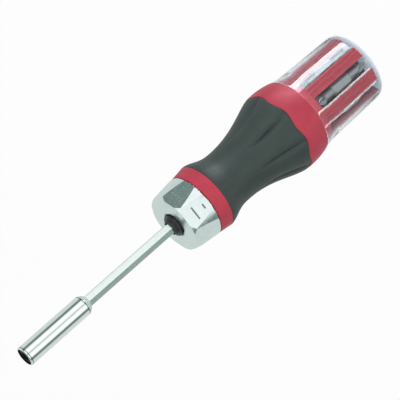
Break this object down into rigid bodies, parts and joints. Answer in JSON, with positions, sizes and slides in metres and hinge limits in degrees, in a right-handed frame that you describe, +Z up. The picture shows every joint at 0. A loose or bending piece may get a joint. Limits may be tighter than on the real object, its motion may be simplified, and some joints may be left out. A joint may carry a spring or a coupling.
{
  "type": "ratcheting screwdriver",
  "caption": "Ratcheting bit screwdriver: magnetic hex bit sleeve on a shaft, selector collar for the ratchet, lobed rubber grip, and a clear pull-off cap over a ring of double-ended bits.",
  "frame": {"origin": "centre of the flat end of the clear cap, which the tool stands on", "axes": "+Z runs up the tool's axis towards the bit socket; one rib gap of the bit store and one lobe of the grip face -Y"},
  "size_m": [0.0478, 0.0478, 0.24],
  "materials": {
    "red_plastic": "moulded red plastic, soft gloss",
    "store_plastic": "moulded red plastic, satin",
    "grip_rubber": "soft-touch dark rubber, fine matt grain",
    "clear_plastic": "clear polished plastic",
    "seal_rubber": "smooth red rubber",
    "black_plastic": "fine matt moulding",
    "wiper_rubber": "matt",
    "collar_metal": "satin plated, edges polished",
    "sleeve_steel": "polished",
    "shaft_steel": "drawn bar, satin plated",
    "bit_steel": "blasted tool steel",
    "gear_steel": "hardened, ground and oiled",
    "housing_metal": "sintered metal, uncoated",
    "plate_steel": "pressed sheet",
    "pin_steel": "ground and polished",
    "spring_steel": "spring steel, bare",
    "screw_steel": "zinc plated",
    "bush_bronze": "oil-soaked sintered bronze",
    "magnet_metal": "nickel plated"
  },
  "bodies": {
    "handle": {"handle_core": "red_plastic", "rubber_grip": "grip_rubber", "bit_carousel": "store_plastic", "carousel_screw": "screw_steel", "bit_1": "bit_steel", "bit_2": "bit_steel", "bit_3": "bit_steel", "bit_4": "bit_steel", "bit_5": "bit_steel", "bit_6": "bit_steel", "bit_7": "bit_steel", "bit_8": "bit_steel", "cap_seal_ring": "seal_rubber", "ratchet_housing": "housing_metal", "cover_plate": "plate_steel", "cover_screws": "screw_steel", "pawl_pins": "pin_steel", "pawl_springs": "spring_steel", "detent_ball": "pin_steel", "detent_spring": "spring_steel", "front_bush": "bush_bronze", "rear_bush": "bush_bronze", "nose_bushing": "black_plastic", "nose_wiper": "wiper_rubber"},
    "spindle": {"drive_shaft": "shaft_steel", "ratchet_gear": "gear_steel", "thrust_washer": "bush_bronze", "shaft_clip": "spring_steel", "bit_sleeve": "sleeve_steel", "socket_magnet": "magnet_metal", "bit_retaining_ring": "spring_steel"},
    "selector": {"selector_collar": "collar_metal", "selector_cam": "gear_steel"},
    "pawl_a": {"pawl_forward": "gear_steel"},
    "pawl_b": {"pawl_reverse": "gear_steel"},
    "cap": {"storage_cap": "clear_plastic"}
  },
  "joints": [
    {"name": "shaft_spin", "type": "hinge", "parent": "handle", "child": "spindle", "pos_m": [0, 0, 0.12], "axis": [0, 0, 1], "continuous": true},
    {"name": "selector_turn", "type": "hinge", "parent": "handle", "child": "selector", "pos_m": [0, 0, 0.128], "axis": [0, 0, 1], "range_deg": [-20, 20]},
    {"name": "pawl_a_rock", "type": "hinge", "parent": "handle", "child": "pawl_a", "pos_m": [0.0079, 0.0044, 0.127], "axis": [0, 0, 1], "range_deg": [-6.5, 6.5]},
    {"name": "pawl_b_rock", "type": "hinge", "parent": "handle", "child": "pawl_b", "pos_m": [-0.0079, 0.0044, 0.127], "axis": [0, 0, 1], "range_deg": [-6.5, 6.5]},
    {"name": "cap_slide", "type": "slide", "parent": "handle", "child": "cap", "axis": [0, 0, -1], "range_m": [0, 0.048]}
  ],
  "couplings": [
    {"joint": "pawl_a_rock", "follows": "selector_turn", "ratio": 0.325},
    {"joint": "pawl_b_rock", "follows": "selector_turn", "ratio": 0.325}
  ]
}
